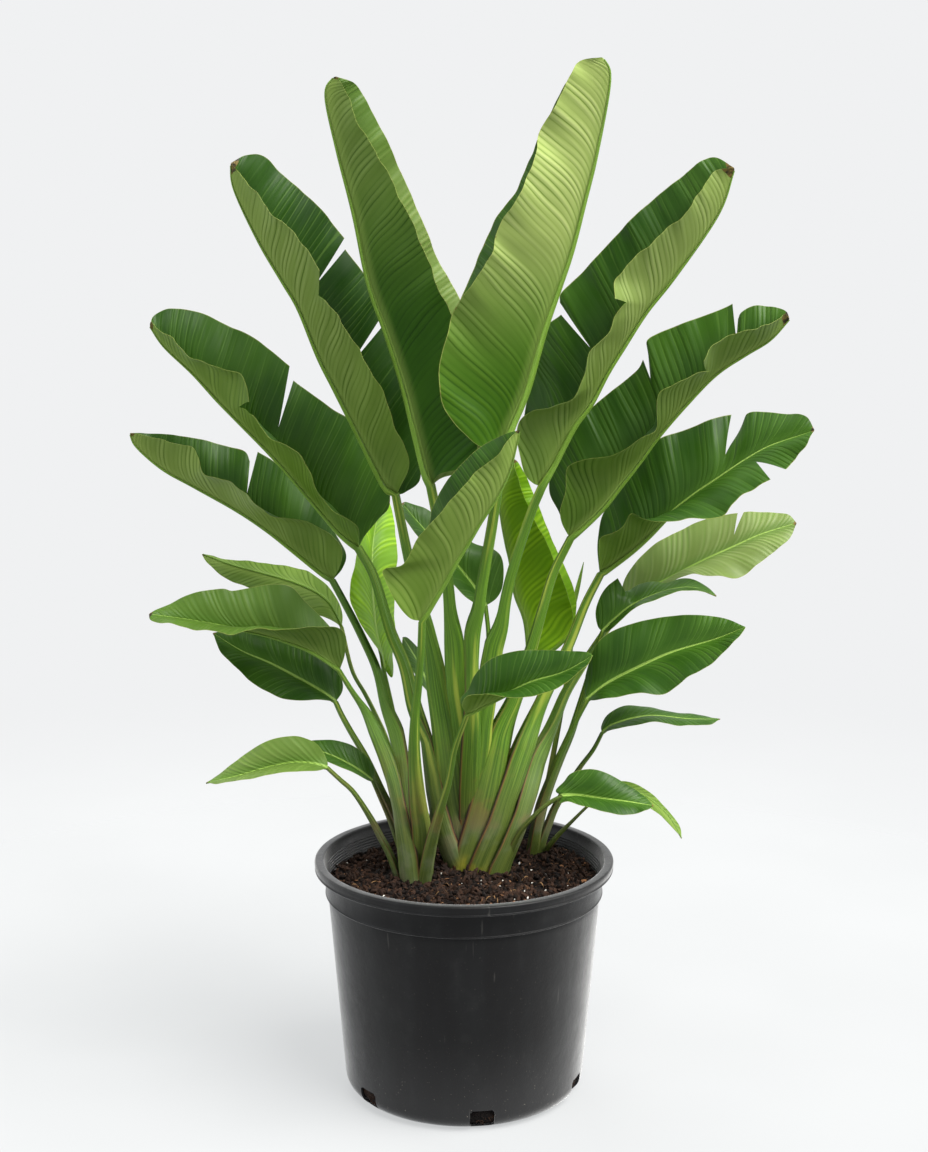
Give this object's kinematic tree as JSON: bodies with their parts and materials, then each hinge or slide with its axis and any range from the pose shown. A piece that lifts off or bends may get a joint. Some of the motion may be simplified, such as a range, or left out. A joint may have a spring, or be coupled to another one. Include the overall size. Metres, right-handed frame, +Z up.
{
  "type": "potted travelers palm",
  "caption": "Tall potted foliage plant with broad folded paddle leaves on long sheathed stalks, in a round tapered nursery pot filled with soil.",
  "frame": {"origin": "centre of the pot's flat underside, on the floor", "axes": "+Z up along the pot's axis; the plant's front, as pictured, faces -Y"},
  "size_m": [0.8385, 0.4302, 1.2061],
  "materials": {
    "pot_plastic": "charcoal injection-moulded plastic, satin",
    "potting_mix": "dark bark and coir potting mix, dry on top",
    "leaf_sheath": "waxy green leaf sheaths with brown edges",
    "leaf_blade": "leathery green leaf, semi-gloss"
  },
  "bodies": {
    "root": {"pot": "pot_plastic", "soil": "potting_mix", "main_shoot": "leaf_sheath", "left_shoot": "leaf_sheath", "right_shoot": "leaf_sheath", "leaf_top_left": "leaf_blade", "leaf_high_left": "leaf_blade", "leaf_mid_left": "leaf_blade", "leaf_spread_left": "leaf_blade", "leaf_top_right": "leaf_blade", "leaf_high_right": "leaf_blade", "leaf_mid_right": "leaf_blade", "leaf_spread_right": "leaf_blade", "leaf_low_right": "leaf_blade", "leaf_under_right": "leaf_blade", "leaf_oval_right": "leaf_blade", "leaf_narrow_right": "leaf_blade", "leaf_drooping_right": "leaf_blade", "leaf_right_small": "leaf_blade", "leaf_front": "leaf_blade", "leaf_front_small": "leaf_blade", "leaf_back_left": "leaf_blade", "leaf_back_right": "leaf_blade", "leaf_back_middle": "leaf_blade", "leaf_back_small": "leaf_blade", "leaf_side_left_back": "leaf_blade", "leaf_side_left": "leaf_blade", "leaf_side_left_under": "leaf_blade", "leaf_bottom_left": "leaf_blade", "leaf_bottom_left_back": "leaf_blade", "leaf_rolled": "leaf_blade"}
  },
  "joints": []
}
